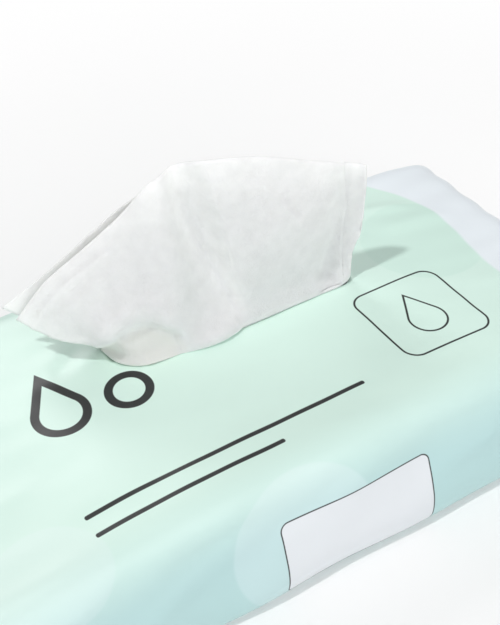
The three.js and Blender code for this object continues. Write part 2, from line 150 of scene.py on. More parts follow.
class WipeSettings(bpy.types.PropertyGroup):
    sheet_length: length("Sheet length", "Along the pack", 0.166)
    leaf_reach: length("Leaf reach", "From the middle to the fold", 0.0425)
    leaf_set_back: length("Set back", "A free edge stops this much short of the folds", 0.001)
    leaf_thickness: length("Leaf thickness", "Of the folded wipes", 0.00031)
    leaf_pitch: length("Leaf pitch", "From one leaf to the next", 0.000565)
    stack_base: length("Stack base", "Middle of the lowest leaf", 0.0012)
    fold_bulge: length("Fold bulge", "How far a fold rounds out past its leaves", 0.0010)
    droop_start: length("Droop start", "The leaves bend down from here", 0.020)
    droop: length("Droop", "Of the top leaf at its edge", 0.004)
    wander: length("Wander", "The wipes don't lie quite square on each other", 0.0005)
    drawn_thickness: length("Drawn thickness", "Of the wipe that is drawn up", 0.00030)
    neck_low: length("Neck low", "Lower end of the passage through the opening", 0.0342)
    neck_high: length("Neck high", "Upper end of the passage", 0.0366)
    foot: length("Foot", "Height at which the wipe bulges over the film's edge", 0.0371)
    leaf_gap: length("Leaf gap", "From the stack up to the drawn wipe's lower leaf", 0.00065)
    fold_gap: length("Fold gap", "Between the drawn wipe's two leaves", 0.0010)
    return_y: length("Return", "Its upper leaf runs from the fold to here", 0.021)
    slid: length("Slid", "How far its lower leaf has followed it", 0.030)
    cloth: tint("Cloth", "White nonwoven", (0.965, 0.966, 0.960))
    # Painted shade: a darker, warmer cloth colour for the wall under the roll, where it lies in shade.
    painted_shade_cloth: tint("Damp cloth", "The same, where it is wet", (0.925, 0.925, 0.880))


class StageSettings(bpy.types.PropertyGroup):
    camera_place: location("Camera place", "Where the picture is taken from", (-0.11092, -0.19879, 0.22843))
    camera_right: direction("Camera right", "The picture's rightward direction", (0.8505, -0.5247, -0.0360))
    camera_up: direction("Camera up", "The picture's upward direction", (0.3539, 0.5204, 0.7771))
    lens: amount("Lens", "Focal length in millimetres, on a sensor 36 mm tall", 68.78)
    key_travel: direction("Key travel", "The way the key light travels", (0.50, 0.08, -1.0))
    key_strength: amount("Key strength", "Sun strength of the key light", 1.25)
    key_angle: amount("Key angle", "Softness of the key light, in degrees", 3.5)
    sky_strength: amount("Sky strength", "Soft light from all round", 0.31)
    back_place: location("Back lamp place", "The soft lamp above the back", (0.05, 1.00, 0.85))
    back_size: length("Back lamp size", "Side of its square", 0.5)
    back_power: amount("Back lamp power", "In watts", 4.2)
    front_place: location("Front lamp place", "The wide soft lamp in front", (-0.10, -1.25, 0.55))
    front_size: length("Front lamp size", "Side of its square", 1.5)
    front_power: amount("Front lamp power", "In watts", 13.0)
    near_floor: length("Near floor", "Beyond this distance the floor is plain white", 0.26)
    near_fade: length("Near floor fade", "Over which the floor turns white", 0.14)
    floor_glow: amount("Floor glow", "How white the camera sees the floor near the pack, of 1", 0.15)


# Small helpers

tiny = 1e-12  # keeps a division off zero, and a place on a curve short of its end
ripple_waves = 14
ripple_spread = (0.7, 1.9)  # lengths of its waves, as shares of the size asked for
crease_fade = 0.35  # share of a crease's length over which each end fades


def lerp(a, b, t):
    """The value a share t of the way from a to b."""
    return a + (b - a) * t


def smooth(t):
    """0 below 0, 1 above 1 and a smooth step between."""
    t = np.clip(t, 0.0, 1.0)
    return t * t * (3.0 - 2.0 * t)


def hump(offset, width):
    """A soft hump, 1 high where the offset is 0."""
    return np.exp(-((offset / width) ** 2))


def ripple(x, y, size, seed):
    """A smooth field of soft bumps about size apart, between about -1 and 1."""
    draw = np.random.default_rng(seed)
    total = np.zeros(np.broadcast(x, y).shape)
    for _ in range(ripple_waves):
        heading = draw.uniform(0.0, 2.0 * math.pi)
        pace = 2.0 * math.pi / (size * draw.uniform(*ripple_spread))
        phase = draw.uniform(0.0, 2.0 * math.pi)
        total += np.sin((x * math.cos(heading) + y * math.sin(heading)) * pace + phase)
    return total / math.sqrt(ripple_waves)


def dents(x, y, height, size, x_share, y_share, seed):
    """Soft dents of this height and size. A share under 1 draws them out along its axis."""
    return height * ripple(x * x_share, y * y_share, size, seed)


def crease(x, y, start, end, width):
    """1 along a line from start to end, fading at both of its ends and on either side."""
    along = np.array(end) - np.array(start)
    reach = math.hypot(*along)
    along = along / reach
    run = (x - start[0]) * along[0] + (y - start[1]) * along[1]
    off = (x - start[0]) * along[1] - (y - start[1]) * along[0]
    fade = crease_fade * reach
    return smooth(run / fade) * smooth((reach - run) / fade) * hump(off, width)


def grid_normals(points):
    """Unit normals of a grid of points."""
    normal = np.cross(np.gradient(points, axis=0), np.gradient(points, axis=1))
    return normal / np.maximum(np.linalg.norm(normal, axis=2, keepdims=True), tiny)


def grid_faces(rows, columns, closed=False):
    """Quads of a grid of points, row by row. A closed grid joins its last column to its first."""
    last = columns if closed else columns - 1
    i, j = np.meshgrid(np.arange(rows - 1), np.arange(last), indexing="ij")
    after = (j + 1) % columns
    return np.stack(
        [i * columns + j, i * columns + after, (i + 1) * columns + after, (i + 1) * columns + j], axis=-1,
    ).reshape(-1, 4)


def make_mesh(name, points, faces, uv=None):
    """A mesh object of these points, with one flat map of them if it is given."""
    mesh = bpy.data.meshes.new(name)
    places = np.asarray(points).reshape(-1, 3).tolist()
    mesh.from_pydata(places, [], [list(map(int, face)) for face in faces])
    if uv is not None:
        layer = mesh.uv_layers.new(name="film")
        flat = np.asarray(uv).reshape(-1, 2)
        corners = np.empty(len(mesh.loops), dtype=np.int32)
        mesh.loops.foreach_get("vertex_index", corners)
        layer.data.foreach_set("uv", flat[corners].ravel())
    mesh.validate()
    mesh.shade_smooth()
    piece = bpy.data.objects.new(name, mesh)
    bpy.context.scene.collection.objects.link(piece)
    return piece


def thicken(piece, thickness, lining_slot=0):
    """Gives a sheet its thickness, inwards from its face."""
    skin = piece.modifiers.new("Thickness", "SOLIDIFY")
    skin.thickness = thickness
    skin.offset = -1.0
    skin.material_offset = lining_slot
    apply_modifiers(piece)


def apply_modifiers(piece):
    """Turns the piece's modifiers into its mesh."""
    depsgraph = bpy.context.evaluated_depsgraph_get()
    done = bpy.data.meshes.new_from_object(
        piece.evaluated_get(depsgraph), preserve_all_data_layers=True, depsgraph=depsgraph,
    )
    old = piece.data
    piece.modifiers.clear()
    piece.data = done
    done.name = old.name
    bpy.data.meshes.remove(old)


def join(target, *others):
    """Makes one object of several."""
    with bpy.context.temp_override(
        active_object=target, object=target,
        selected_objects=[target, *others], selected_editable_objects=[target, *others],
    ):
        bpy.ops.object.join()
    return target


# The film

# Counts of points on the section's runs, from the top to the base, and on each rounded corner.
section_runs = (34, 7, 7, 3, 22)
section_turn = 7
end_rings = 22
corner_share = 0.48  # of a run, at most, goes into the rounding of a corner
tuck_radius = 0.0020
least_radii = (0.0002, 0.0003, 0.0001, 0.0001)


def fullness(film, x):
    """How much of the full section is left: 1 up to the shoulder, 0 at the crimp."""
    shoulder = film.half_length - film.seal_length - film.end_reach
    past = min(max((abs(x) - shoulder) / film.end_reach, 0.0), 1.0)
    return (1.0 - past ** film.end_roundness) ** (1.0 / film.end_roundness)


def crown_height(film, x):
    """Height of the top's middle line at a station."""
    reach = film.half_length - film.seal_length - film.end_reach + film.crown_x
    return film.height - film.crown_sink * abs((x - film.crown_x) / reach) ** film.crown_power


def rounded_path(corners, radii, runs, turn):
    """A path through corners that are rounded off, with a set count of points on each run and turn."""
    points = []
    here = corners[0]
    for k in range(1, len(corners) - 1):
        before = corners[k - 1] - corners[k]
        after = corners[k + 1] - corners[k]
        before_size = float(np.linalg.norm(before))
        after_size = float(np.linalg.norm(after))
        reach = min(radii[k - 1], corner_share * before_size, corner_share * after_size)
        start = corners[k] + before * (reach / max(before_size, tiny))
        end = corners[k] + after * (reach / max(after_size, tiny))
        points += [lerp(here, start, step / runs[k - 1]) for step in range(runs[k - 1])]
        for step in range(turn):
            t = step / turn
            points.append(lerp(lerp(start, corners[k], t), lerp(corners[k], end, t), t))
        here = end
    points += [lerp(here, corners[-1], step / runs[-1]) for step in range(runs[-1])]
    points.append(corners[-1])
    return points


def half_section(film, x):
    """Half of the film's section at a station, from the middle of the top to the middle of the base."""
    full = fullness(film, x)
    slab = film.seal_thickness + film.rib_height
    crimp_top = film.seal_height + slab / 2.0
    crimp_base = film.seal_height - slab / 2.0
    shoulder_z = lerp(crimp_top, crown_height(film, x) - film.top_fall, full)
    wide_z = lerp(film.seal_height - slab / 4.0, film.wide_height, full)
    wide_y = lerp(film.seal_width / 2.0, film.width / 2.0 + film.wide_rounding, full)
    shoulder_y = lerp(film.seal_width / 2.0, film.shoulder_half_width, full)
    base_y = lerp(film.seal_width / 2.0, film.base_half_width, full)
    base_z = lerp(crimp_base, 0.0, min(1.0, full * film.base_lead))
    tuck_z = lerp(film.seal_height + slab / 8.0, (wide_z + shoulder_z) / 2.0, full)
    share = (tuck_z - wide_z) / max(shoulder_z - wide_z, tiny)
    tuck = film.tuck_depth * max(0.0, math.sin(math.pi * (1.0 - full) ** film.tuck_power))
    corners = [
        np.array((0.0, lerp(crimp_top, crown_height(film, x), full))),
        np.array((shoulder_y, shoulder_z)),
        np.array((lerp(wide_y, shoulder_y, share) - tuck, tuck_z)),
        np.array((wide_y, wide_z)),
        np.array((base_y, base_z)),
        np.array((0.0, base_z)),
    ]
    full_radii = (film.shoulder_radius, tuck_radius, film.wide_radius, film.base_radius)
    radii = [radius * full + least for radius, least in zip(full_radii, least_radii)]
    return np.array(rounded_path(corners, radii, section_runs, section_turn))


def film_stations(film):
    """Places of the rings along X, closer together where the ends close."""
    closed = film.half_length - film.seal_length
    shoulder = closed - film.end_reach
    body = np.linspace(-shoulder, shoulder, film.stations)
    angle = np.linspace(0.0, math.pi / 2.0, end_rings + 1)[1:]
    right = shoulder + film.end_reach * np.sin(angle) ** (2.0 / film.end_roundness)
    return np.concatenate([-right[::-1], body, right])


def opening_distance(film, x, y):
    """Signed distance to the opening's edge, below zero inside it."""
    half_width = film.opening_width / 2.0
    middle_x = (film.opening_left + film.opening_right) / 2.0
    half_length = (film.opening_right - film.opening_left) / 2.0
    radius = np.where(x < middle_x, half_width, film.opening_corner)
    over_x = np.abs(x - middle_x) - (half_length - radius)
    over_y = np.abs(y - film.opening_front - half_width) - (half_width - radius)
    outside = np.hypot(np.maximum(over_x, 0.0), np.maximum(over_y, 0.0))
    return outside + np.minimum(np.maximum(over_x, over_y), 0.0) - radius


# Creases of the film: start and end on the flat print, width and height, in metres.
film_creases = (
    ((-0.094, -0.058), (-0.052, -0.046), 0.0030, 0.0007),
    ((-0.060, -0.064), (-0.020, -0.052), 0.0034, 0.0006),
    ((-0.030, -0.060), (0.012, -0.047), 0.0030, -0.0005),
    ((0.050, 0.030), (0.074, 0.022), 0.0022, 0.0006),
    ((0.052, 0.018), (0.084, 0.014), 0.0030, 0.0006),
    ((0.056, -0.012), (0.090, -0.020), 0.0032, 0.0005),
    ((0.058, -0.034), (0.092, -0.040), 0.0034, 0.0006),
    ((-0.090, 0.012), (-0.058, 0.006), 0.0030, 0.0006),
    ((-0.092, -0.016), (-0.056, -0.014), 0.0032, 0.0005),
    ((-0.090, 0.034), (-0.050, 0.028), 0.0032, 0.0006),
    ((0.018, -0.064), (0.060, -0.054), 0.0032, 0.0006),
    ((0.040, -0.070), (0.088, -0.060), 0.0028, -0.0005),
    ((-0.046, 0.012), (-0.033, 0.020), 0.0024, -0.0007),
)

# Dents of the loose film: height, size, shares along and round the film, and seed.
loose_dents = (
    (0.00022, 0.034, 1.0, 1.0, 3),
    (0.00007, 0.011, 0.7, 1.0, 5),
)
wall_dents = (0.00035, 0.022, 0.55, 1.2, 8)
wall_reach = (0.044, 0.082)  # where a side wall starts and ends, round the film
wall_fade = 0.008

fin_slope = 0.0006  # width of the fin seal's sloping edges
base_skin = (0.0006, 0.0004)  # the base is what lies under this height, over this fade
base_full = 0.98  # the base's step stays where the section is this full
loose_start = (0.002, 0.006)  # the film is loose from this height, over this fade
gather_reach = 0.030  # how far the gathers run past the shoulder, along the pack
gather_fade = 0.034
gather_lift = 0.00012  # height of the gathers there
gather_clear = 0.008  # the gathers fade this near to the crimp's own height
gather_swing = 0.9  # the gathers aren't quite even: their phase swings by this
gather_swing_length = 0.0085
rim_passes = 3  # how often the rim is moved nearer to the opening's outline
rim_nudge = 1e-5  # a small step, to measure how the distance to the outline changes
top_share = 0.7  # of the height: what lies above it belongs to the top


def film_rings(film, stations):
    """Closed rings along X, and the way round a ring from the middle of the top, laid flat."""
    middle = half_section(film, film.crown_x)
    steps = np.linalg.norm(np.diff(middle, axis=0), axis=1)
    half_round = np.concatenate([[0.0], np.cumsum(steps)])
    way_round = np.concatenate([half_round, -half_round[-2:0:-1]])
    rings = []
    for x in stations:
        half = half_section(film, x)
        ring = np.concatenate([half, half[-2:0:-1] * (-1.0, 1.0)])
        rings.append(np.column_stack([np.full(len(ring), x), ring]))
    return np.array(rings), way_round


def lift_back_and_base(film, y, z, full):
    """Raises the back shoulder, and steps the base off the ground round its flat fin seal."""
    high = np.maximum(0.0, (z - film.wide_height) / (film.height - film.wide_height))
    z += film.back_rise * full * high * np.clip(y / film.shoulder_half_width, 0.0, 1.0)
    fin_end = film.fin_edge + film.fin_width
    fin = smooth((y - film.fin_edge) / fin_slope + 0.5) * smooth((fin_end - y) / fin_slope + 0.5)
    on_base = smooth((base_skin[0] - z) / base_skin[1]) * (full > base_full)
    z += film.fin_step * on_base * (1.0 - fin)


def film_relief(film, x, z, v, full, phase):
    """How far the loose film stands out: gathers past the crimps, soft dents and creases."""
    shoulder = film.half_length - film.seal_length - film.end_reach
    fade = smooth((np.abs(x) - (shoulder - gather_reach)) / gather_fade) * full
    above = smooth(np.abs(z - film.seal_height) / gather_clear)
    relief = gather_lift * fade * above * np.cos(phase)
    loose = smooth((z - loose_start[0]) / loose_start[1]) * full
    for dent in loose_dents:
        relief += loose * dents(x, v, *dent)
    out = np.abs(v)
    wall = smooth((out - wall_reach[0]) / wall_fade) * smooth((wall_reach[1] - out) / wall_fade)
    relief += wall * full * dents(x, v, *wall_dents)
    for start, end, width, height in film_creases:
        relief += height * full * crease(x, v, start, end, width)
    return relief


def cut_opening(film, spots, uv, faces):
    """The faces left round the opening. Their rim is drawn onto the opening's true outline."""
    centre = spots[faces].mean(axis=1)
    inside = opening_distance(film, centre[:, 0], centre[:, 1]) < 0.0
    cut = inside & (centre[:, 2] > top_share * film.height)
    kept = faces[~cut]
    rim = np.intersect1d(faces[cut], kept)
    for _ in range(rim_passes):
        x = spots[rim, 0]
        y = spots[rim, 1]
        away = opening_distance(film, x, y)
        slope_x = (opening_distance(film, x + rim_nudge, y) - away) / rim_nudge
        slope_y = (opening_distance(film, x, y + rim_nudge) - away) / rim_nudge
        step = np.stack([away * slope_x, away * slope_y], axis=-1)
        spots[rim, :2] -= step
        uv[rim] -= step
    return kept


def mend_flat_map(mesh, half_round):
    """Mends the faces across the middle of the base, where the flat print starts and ends."""
    layer = mesh.uv_layers["film"]
    values = np.empty(len(mesh.loops) * 2)
    layer.data.foreach_get("uv", values)
    values = values.reshape(-1, 4, 2)
    spread = values[:, :, 1].max(axis=1) - values[:, :, 1].min(axis=1)
    seam = spread > half_round
    values[seam, :, 1] = np.abs(values[seam, :, 1])
    layer.data.foreach_set("uv", values.ravel())


def film_body(film):
    """The pouch without its crimps: rings along X, joined to a skin, with the opening cut out."""
    stations = film_stations(film)
    points, way_round = film_rings(film, stations)
    x = points[:, :, 0]
    y = points[:, :, 1]
    z = points[:, :, 2]
    v = np.broadcast_to(way_round, x.shape)
    full = np.array([fullness(film, station) for station in stations])[:, None]
    lift_back_and_base(film, y, z, full)

    # The gathers are deepest where the end is half closed, and run on past the shoulder.
    side = np.sign(x)
    swing = gather_swing * np.sin(y / gather_swing_length + side)
    phase = 2.0 * math.pi * y / film.pleat_pitch + side + swing
    gather = film.pleat_depth * 4.0 * full * (1.0 - full)
    x -= side * gather * (0.5 - 0.5 * np.cos(phase))

    normals = grid_normals(points)
    if normals[len(stations) // 2, 0, 2] < 0.0:
        normals = -normals
    points += normals * film_relief(film, x, z, v, full, phase)[:, :, None]
    np.maximum(z, 0.0, out=z)

    spots = points.reshape(-1, 3)
    uv = np.stack([x, v], axis=-1).reshape(-1, 2)
    kept = cut_opening(film, spots, uv, grid_faces(*x.shape, closed=True))
    used, index = np.unique(kept, return_inverse=True)
    faces = index.reshape(kept.shape)[:, ::-1]
    piece = make_mesh("film_pouch_skin", spots[used], faces, uv[used])
    mend_flat_map(piece.data, way_round.max())
    return piece


crimp_rows = 14
crimp_steps = 8  # points across each of the crimp's ribs
crimp_start = 0.0008  # the strip starts this far inside the closed film
crimp_bend = 0.0007  # the strip waves up and down by this
crimp_bend_length = 0.017
rib_end = 0.0012  # the ribs end this far from the saw edge
rib_fade = 0.0015


def film_crimp(film, side):
    """One crimped seal: a ribbed strip with saw teeth along its edge."""
    teeth = round(film.seal_width / film.tooth_pitch)
    pitch = film.seal_width / teeth
    y = np.linspace(-film.seal_width / 2.0, film.seal_width / 2.0, teeth * crimp_steps + 1)
    tooth = np.abs(((y + film.seal_width / 2.0) / pitch) % 1.0 - 0.5) * 2.0
    edge = film.half_length - film.tooth_depth * tooth
    root = film.half_length - film.seal_length - crimp_start
    x = root + (edge[None, :] - root) * np.linspace(0.0, 1.0, crimp_rows)[:, None]
    wave = np.sin(y / crimp_bend_length + side)[None, :]
    bend = crimp_bend * smooth((x - root) / film.seal_length) * wave
    profile = film.rib_height / 2.0 * np.cos(2.0 * math.pi * y / pitch)
    clear = smooth((film.half_length - rib_end - x) / rib_fade)
    z = film.seal_height + bend + profile[None, :] * clear
    half = film.seal_thickness / 2.0
    skins = [
        np.stack([side * x, np.broadcast_to(y, x.shape), z + offset], axis=-1).reshape(-1, 3)
        for offset in (half, -half)
    ]

    # Both skins are numbered row by row, and the rims join each point to the one below it.
    columns = x.shape[1]
    count = crimp_rows * columns
    top = grid_faces(crimp_rows, columns)
    along = np.arange(columns - 1)
    first = np.stack([along, along + count, along + 1 + count, along + 1], axis=-1)
    last = np.stack([along, along + 1, along + 1 + count, along + count], axis=-1)
    last += (crimp_rows - 1) * columns
    across = np.arange(crimp_rows - 1) * columns
    low = np.stack([across, across + columns, across + columns + count, across + count], axis=-1)
    far = np.stack([across, across + count, across + columns + count, across + columns], axis=-1)
    far += columns - 1
    faces = np.concatenate([top, top[:, ::-1] + count, first, last, low, far])
    if side > 0:
        faces = faces[:, ::-1]
    points = np.concatenate(skins)
    return make_mesh("film_crimp", points, faces, points[:, :2])


# The wipes

leaf_steps = 26  # points across a leaf
bend_steps = 9  # points round a fold
sheet_stations = 56
pressed_share = 0.8  # of a leaf's thickness is left where the stack presses it
wander_turn = 2.4  # from one wipe to the next, so that their shifts look unordered
stack_dents = (0.00004, 0.020, 1.0, 1.0)  # height, size and shares along X and Y
edge_wave = 0.00025  # the cut ends of the folded wipes aren't quite straight
edge_wave_length = 0.007


def leaf_height(wipes, middle, y):
    """Height of a leaf at a distance from the middle: flat, then bent down towards its edges."""
    stack_top = stack_top_height(wipes)
    past = np.maximum(0.0, np.abs(y) - wipes.droop_start) / (wipes.leaf_reach - wipes.droop_start)
    return middle - wipes.droop * (middle / stack_top) * past ** 2


def stack_top_height(wipes):
    """Middle of the stack's top leaf."""
    return wipes.stack_base + (2 * wipe_count - 1) * wipes.leaf_pitch


def folded_line(wipes, upper, lower, side, upper_start=None, slid=0.0):
    """Middle line of a sheet folded once: upper leaf, round fold and lower leaf."""
    edge = wipes.leaf_reach
    inner = wipes.leaf_set_back - edge
    start = inner if upper_start is None else side * upper_start
    y_upper = np.linspace(start, edge, leaf_steps)
    y_lower = np.linspace(edge, inner + slid, leaf_steps)
    angle = np.linspace(0.0, math.pi, bend_steps)[1:-1]
    high = leaf_height(wipes, upper, edge)
    low = leaf_height(wipes, lower, edge)
    fold_y = edge + wipes.fold_bulge * np.sin(angle)
    fold_z = lerp(high, low, (1.0 - np.cos(angle)) / 2.0)
    leaves = (leaf_height(wipes, upper, y_upper), leaf_height(wipes, lower, y_lower))
    y = side * np.concatenate([y_upper, fold_y, y_lower])
    z = np.concatenate([leaves[0], fold_z, leaves[1]])
    return np.column_stack([y, z])


def sheet_along_x(line, sheet_length, middle_x):
    """Sweeps a folded line along X."""
    x = np.linspace(-sheet_length / 2.0, sheet_length / 2.0, sheet_stations) + middle_x
    grid = np.empty((sheet_stations, len(line), 3))
    grid[:, :, 0] = x[:, None]
    grid[:, :, 1:] = line[None, :, :]
    return grid


def stack_wipe(wipes, number):
    """One folded wipe of the stack. Each one's fold closes over a leaf of each of its neighbours."""
    upper_layer = 1 if number == 1 else 2 * number - 2
    lower_layer = 2 * number if number == wipe_count else 2 * number + 1
    side = 1 if number % 2 == 0 else -1
    top = stack_top_height(wipes)
    upper = top - (upper_layer - 1) * wipes.leaf_pitch
    lower = top - (lower_layer - 1) * wipes.leaf_pitch
    line = folded_line(wipes, upper, lower, side)
    middle_x = wipes.wander * math.sin(wander_turn * number)
    grid = sheet_along_x(line, wipes.sheet_length, middle_x)
    x = grid[:, :, 0]
    y = grid[:, :, 1]
    grid[:, :, 2] += dents(x, y, *stack_dents, number)
    x += edge_wave * np.sin(y / edge_wave_length + number) * np.sign(x - middle_x)
    piece = make_mesh(f"folded_{number:02d}", grid, grid_faces(*x.shape), grid[:, :, :2])
    thicken(piece, wipes.leaf_thickness * pressed_share)
    return piece


# Ribs of the drawn wipe, from the free lower edge of its front ply at the left, round the doubled
# edge at the right and back along its rear ply to the rear tip. Each has where its skirt ends on
# the stack, where it passes the opening, where it bulges over the film's edge, and its rise.
ribs = (
    ((-0.0720, -0.0090), (-0.0296, 0.0144), (-0.0304, 0.0145),
     ((-0.0336, 0.0114, 0.0426), (-0.0402, 0.0154, 0.0444), (-0.0476, 0.0230, 0.0490))),
    ((-0.0700, -0.0250), (-0.0283, 0.0088), (-0.0292, 0.0083),
     ((-0.0315, 0.0074, 0.0450), (-0.0356, 0.0132, 0.0520), (-0.0398, 0.0202, 0.0588))),
    ((-0.0560, -0.0350), (-0.0241, 0.0046), (-0.0246, 0.0040),
     ((-0.0278, 0.0056, 0.0475), (-0.0288, 0.0115, 0.0565), (-0.0299, 0.0170, 0.0667))),
    ((-0.0420, -0.0370), (-0.0190, 0.0033), (-0.0194, 0.0029),
     ((-0.0216, 0.0050, 0.0480), (-0.0208, 0.0092, 0.0600), (-0.0214, 0.0140, 0.0741))),
    ((-0.0260, -0.0370), (-0.0125, 0.0032), (-0.0130, 0.0029),
     ((-0.0142, 0.0036, 0.0455), (-0.0128, 0.0066, 0.0618), (-0.0151, 0.0105, 0.0821))),
    ((0.0040, -0.0370), (0.0020, 0.0032), (0.0018, 0.0030),
     ((0.0016, 0.0068, 0.0445), (-0.0024, 0.0106, 0.0600), (-0.0068, 0.0108, 0.0836))),
    ((0.0120, -0.0370), (0.0060, 0.0032), (0.0058, 0.0029),
     ((0.0054, 0.0046, 0.0440), (0.0026, 0.0056, 0.0627), (-0.0020, 0.0070, 0.0852))),
    ((0.0260, -0.0370), (0.0130, 0.0032), (0.0126, 0.0029),
     ((0.0122, 0.0042, 0.0435), (0.0105, 0.0036, 0.0640), (0.0111, 0.0055, 0.0827))),
    ((0.0400, -0.0370), (0.0200, 0.0032), (0.0198, 0.0029),
     ((0.0201, 0.0042, 0.0430), (0.0209, 0.0030, 0.0620), (0.0241, 0.0050, 0.0773))),
    ((0.0540, -0.0350), (0.0265, 0.0032), (0.0266, 0.0029),
     ((0.0270, 0.0046, 0.0430), (0.0286, 0.0040, 0.0587), (0.0319, 0.0045, 0.0742))),
    ((0.0680, -0.0250), (0.0332, 0.0033), (0.0336, 0.0030),
     ((0.0336, 0.0044, 0.0425), (0.0342, 0.0058, 0.0546), (0.0367, 0.0049, 0.0719))),
    ((0.0720, -0.0070), (0.0364, 0.0049), (0.0369, 0.0045),
     ((0.0376, 0.0042, 0.0430), (0.0404, 0.0039, 0.0520), (0.0410, 0.0039, 0.0704))),
    ((0.0720, 0.0090), (0.0364, 0.0080), (0.0366, 0.0080),
     ((0.0362, 0.0070, 0.0440), (0.0392, 0.0069, 0.0550), (0.0392, 0.0066, 0.0690))),
    ((0.0440, 0.0250), (0.0220, 0.0088), (0.0218, 0.0088),
     ((0.0215, 0.0082, 0.0470), (0.0220, 0.0086, 0.0600), (0.0270, 0.0094, 0.0725))),
    ((0.0120, 0.0250), (0.0060, 0.0092), (0.0058, 0.0096),
     ((0.0050, 0.0108, 0.0480), (0.0040, 0.0128, 0.0620), (0.0075, 0.0116, 0.0790))),
    ((-0.0200, 0.0250), (-0.0100, 0.0096), (-0.0104, 0.0104),
     ((-0.0120, 0.0134, 0.0480), (-0.0130, 0.0150, 0.0620), (-0.0084, 0.0146, 0.0780))),
    ((-0.0420, 0.0250), (-0.0195, 0.0106), (-0.0204, 0.0118),
     ((-0.0240, 0.0165, 0.0480), (-0.0250, 0.0180, 0.0600), (-0.0180, 0.0166, 0.0750))),
    ((-0.0600, 0.0250), (-0.0265, 0.0154), (-0.0272, 0.0158),
     ((-0.0330, 0.0190, 0.0460), (-0.0380, 0.0210, 0.0530), (-0.0370, 0.0220, 0.0603))),
    ((-0.0720, 0.0150), (-0.0288, 0.0170), (-0.0296, 0.0174),
     ((-0.0360, 0.0190, 0.0436), (-0.0434, 0.0225, 0.0466), (-0.0497, 0.0264, 0.0512))),
)

drawn_across = 300  # points round the risen wipe
drawn_along = 130  # points up each rib
skirt_rise = 0.0002  # the skirt lies this much higher halfway to the opening


def spline(points, places):
    """A smooth curve through points, at places between 0 and 1 that count the points evenly."""
    points = np.asarray(points, dtype=float)
    padded = np.concatenate([[2.0 * points[0] - points[1]], points, [2.0 * points[-1] - points[-2]]])
    last = len(points) - 1
    place = np.clip(np.asarray(places) * last, 0.0, last - tiny)
    start = np.floor(place).astype(int)
    t = (place - start)[:, None]
    p0, p1, p2, p3 = (padded[start + k] for k in range(4))
    gaps = []
    for start_point, end_point in ((p0, p1), (p1, p2), (p2, p3)):
        run = np.linalg.norm(end_point - start_point, axis=1)
        gaps.append(np.maximum(np.sqrt(run), tiny)[:, None])
    before, here, after = gaps
    first = ((p1 - p0) / before - (p2 - p0) / (before + here) + (p2 - p1) / here) * here
    second = ((p2 - p1) / here - (p3 - p1) / (here + after) + (p3 - p2) / after) * here
    cubic = 2.0 * p1 - 2.0 * p2 + first + second
    square = -3.0 * p1 + 3.0 * p2 - 2.0 * first - second
    return p1 + first * t + square * t ** 2 + cubic * t ** 3


def rib_points(wipes, rib):
    """The places that one rib passes: skirt on the stack, opening, bulge over the film and rise."""
    skirt, neck, foot, rise = rib
    leaf_z = stack_top_height(wipes) + wipes.leaf_gap + wipes.fold_gap
    return [
        (skirt[0], skirt[1], leaf_height(wipes, leaf_z, skirt[1])),
        (lerp(neck[0], skirt[0], 0.5), lerp(neck[1], skirt[1], 0.5), leaf_z + skirt_rise),
        (neck[0], neck[1], wipes.neck_low),
        (neck[0], neck[1], wipes.neck_high),
        (foot[0], foot[1], wipes.foot),
        *rise,
    ]


def drawn_grid(wipes):
    """The risen part of the drawn wipe as a grid of points."""
    places = np.linspace(0.0, 1.0, drawn_along)
    curves = np.array([spline(rib_points(wipes, rib), places) for rib in ribs])
    across = np.linspace(0.0, 1.0, drawn_across)
    columns = [spline(curves[:, k], across) for k in range(drawn_along)]
    return np.stack(columns, axis=1)


# Folds of the drawn wipe's front ply. A place on it is a rib's number and a share of the rise. A
# start or an end has its place and its fade, a span has both, and a spot its middle and its width.
fold_heights = {
    "hollow": -0.0017, "roll": 0.0009, "valley": -0.0017, "doubled": -0.0006, "pocket": -0.0016,
    "slant": 0.0004, "belly": 0.0024, "ridge": 0.0005,
}
roll_ribs = (0.0, 1.6, 2.6, 3.4, 4.0, 4.2)
roll_rises = (0.680, 0.736, 0.732, 0.722, 0.700, 0.640)
roll_spot = (0.03, 0.035)  # above the roll's line
roll_span = (-0.2, 0.8, 4.3, 0.8)
hollow_start = (0.56, 0.07)
hollow_fade = 0.045
hollow_span = (-0.3, 0.6, 4.2, 0.4)
valley_rises = (0.47, 0.58, 0.74, 0.82, 0.96)
valley_ribs = (4.94, 5.30, 5.00, 5.00, 4.76)
valley_width = 0.55
valley_power = 1.4
valley_start = (0.56, 0.20)
seam_rises = (0.915, 0.99)
seam_ribs = (10.17, 9.70)
seam_fade = 0.05
doubled_start = (0.60, 0.08)
doubled_end = (11.0, 0.5)
pocket_ribs = (9.5, 0.55)
pocket_rises = (0.70, 0.13)
slant_rises = (0.829, 0.946)
slant_ribs = (8.25, 7.04)
slant_width = 0.16
slant_span = (0.80, 0.05, 0.97, 0.05)
belly_ribs = (4.55, 0.50)
belly_rises = (0.59, 0.06)
ridges = ((1.0, (0.945, 0.012)), (0.7, (0.885, 0.016)))  # each has its share of the height and its spot
ridge_end = (3.2, 1.2)


def from_to(value, start, start_fade, end, end_fade):
    """1 between start and end, with a soft step over each fade."""
    return smooth((value - start) / start_fade) * smooth((end - value) / end_fade)


def past(value, start):
    """1 beyond a start, which has its place and its fade."""
    return smooth((value - start[0]) / start[1])


def at(value, spot):
    """A hump at a spot, which has its middle and its width."""
    return hump(value - spot[0], spot[1])


